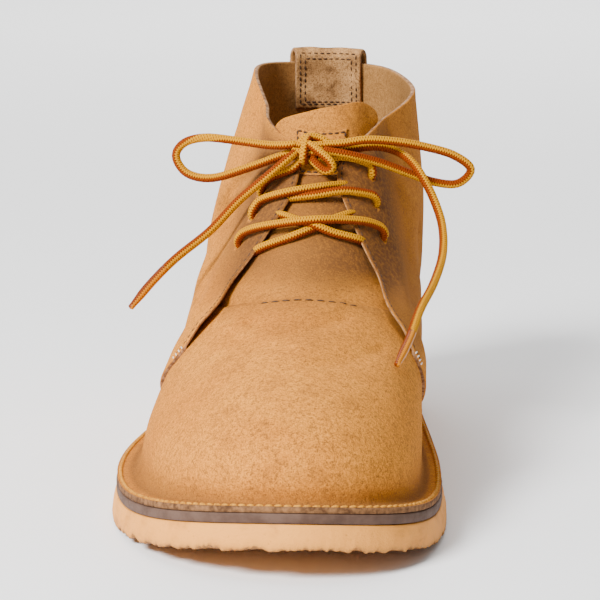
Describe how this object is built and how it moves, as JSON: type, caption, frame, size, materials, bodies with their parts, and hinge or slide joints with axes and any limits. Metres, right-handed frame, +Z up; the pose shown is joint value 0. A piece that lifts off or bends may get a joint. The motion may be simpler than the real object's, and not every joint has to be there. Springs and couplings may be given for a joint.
{
  "type": "chukka boot",
  "caption": "Low lace-up ankle boot in soft leather with an outturned stitched flange, a flat wedge sole, a separate tongue, a heel pull tab and a round lace tied in a bow.",
  "frame": {"origin": "on the floor, under the middle of the heel's flat", "axes": "+Z up, +Y towards the heel, so the toe points to -Y, and +X to the medial side, the inside of the foot"},
  "size_m": [0.1256, 0.3008, 0.1423],
  "materials": {
    "suede": "golden tan suede, napped",
    "lining_leather": "smooth brown lining leather",
    "midsole": "dark brown matt midsole sheet",
    "rubber": "pale tan natural crepe rubber",
    "lace": "two-tone yellow and rust braid",
    "lace_tip": "clear film over the braid"
  },
  "bodies": {
    "root": {"outsole": "rubber", "midsole": "midsole", "insole": "lining_leather", "upper": "suede", "tongue": "suede", "tongue_patch": "suede", "pull_tab": "suede", "lace_bar": "lace", "lace_cross": "lace", "lace_upper_cross": "lace", "lace_rise_lateral": "lace", "lace_rise_medial": "lace", "lace_knot": "lace", "lace_loop_lateral": "lace", "lace_loop_medial": "lace", "lace_end_lateral": "lace", "lace_end_medial": "lace", "lace_tip_lateral": "lace_tip", "lace_tip_medial": "lace_tip"}
  },
  "joints": []
}
